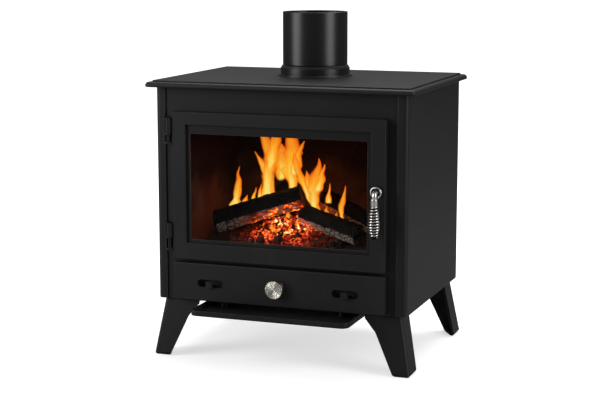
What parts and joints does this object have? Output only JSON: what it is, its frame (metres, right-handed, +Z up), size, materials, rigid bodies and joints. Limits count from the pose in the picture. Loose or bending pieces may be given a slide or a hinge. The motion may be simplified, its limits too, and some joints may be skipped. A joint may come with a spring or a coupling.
{
  "type": "wood burning stove",
  "caption": "Free-standing steel wood stove on splayed feet with a hinged glazed door, coil spring handle, ash drawer with sliding air vents and a short top flue pipe.",
  "frame": {"origin": "on the floor, under the middle of the overall box", "axes": "+Z up, -Y to the front where the door is, +X to the right as seen from the front"},
  "size_m": [0.534, 0.44, 0.662],
  "materials": {
    "painted_steel": "matt heat resistant paint",
    "door_paint": "matt heat resistant paint",
    "surround_paint": "matt heat resistant paint",
    "flue_enamel": "satin black",
    "fire_cement": "rough",
    "fastener_steel": "zinc plated",
    "hinge_steel": "blackened",
    "rope": "knitted glass fibre rope",
    "stove_glass": "clear ceramic glass",
    "handle_chrome": "bright nickel plate",
    "spun_steel": "spun stainless steel",
    "fire_brick": "sooty brick",
    "cast_grate": "rough casting",
    "sheet_steel": "mill finish",
    "charred_wood": "charred, with ash",
    "embers": "glowing charcoal"
  },
  "bodies": {
    "stove_body": {"airwash_duct": "sheet_steel", "ash_lip": "painted_steel", "ash_lip_bolts": "painted_steel", "ash_lip_spacers": "painted_steel", "baffle_plate": "fire_brick", "base_plate": "painted_steel", "drawer_runners": "sheet_steel", "ember_bed": "embers", "firebox_ledges": "sheet_steel", "firebrick_left": "fire_brick", "firebrick_rear": "fire_brick", "firebrick_right": "fire_brick", "flue_clamp_ring": "fastener_steel", "flue_clamp_screws": "fastener_steel", "flue_collar": "flue_enamel", "flue_pipe": "flue_enamel", "flue_seal": "fire_cement", "front_plate": "painted_steel", "grate": "cast_grate", "hearth_plate": "sheet_steel", "hinge_bracket_lower": "painted_steel", "hinge_bracket_upper": "painted_steel", "hinge_pins": "hinge_steel", "leg_bolts": "fastener_steel", "leg_front_left": "painted_steel", "leg_front_right": "painted_steel", "leg_rear_left": "painted_steel", "leg_rear_right": "painted_steel", "log_front_left": "charred_wood", "log_front_right": "charred_wood", "log_guard": "cast_grate", "log_rear_left": "charred_wood", "log_rear_right": "charred_wood", "rear_panel": "painted_steel", "side_panel_left": "painted_steel", "side_panel_right": "painted_steel", "top_plate": "painted_steel", "top_plate_bolts": "fastener_steel", "top_plate_tabs": "sheet_steel"},
    "door": {"door_frame": "door_paint", "glass_surround": "surround_paint", "glass_gasket": "rope", "door_glass": "stove_glass", "glass_clips": "sheet_steel", "glass_clip_screws": "fastener_steel", "door_rope_seal": "rope", "door_knuckle_upper": "painted_steel", "door_knuckle_lower": "painted_steel", "handle_rosette": "door_paint"},
    "handle": {"latch_spindle": "fastener_steel", "latch_cam": "fastener_steel", "handle_rod": "handle_chrome", "handle_coil": "handle_chrome"},
    "ash_drawer": {"drawer_front": "door_paint", "ash_pan": "sheet_steel", "slider_rails": "sheet_steel", "drawer_screws": "fastener_steel", "drawer_knob": "spun_steel"},
    "air_slider_left": {"air_slider_left": "painted_steel"},
    "air_slider_right": {"air_slider_right": "painted_steel"}
  },
  "joints": [
    {"name": "door_hinge", "type": "hinge", "parent": "stove_body", "child": "door", "pos_m": [-0.218, -0.169, 0.34], "axis": [0, 0, 1], "range_deg": [-120, 0]},
    {"name": "handle_turn", "type": "hinge", "parent": "door", "child": "handle", "pos_m": [0.196, -0.175, 0.347], "axis": [0, -1, 0], "range_deg": [0, 90]},
    {"name": "drawer_slide", "type": "slide", "parent": "stove_body", "child": "ash_drawer", "axis": [0, -1, 0], "range_m": [0, 0.26]},
    {"name": "air_slide_left", "type": "slide", "parent": "ash_drawer", "child": "air_slider_left", "axis": [1, 0, 0], "range_m": [-0.014, 0.014]},
    {"name": "air_slide_right", "type": "slide", "parent": "ash_drawer", "child": "air_slider_right", "axis": [1, 0, 0], "range_m": [-0.014, 0.014]}
  ]
}
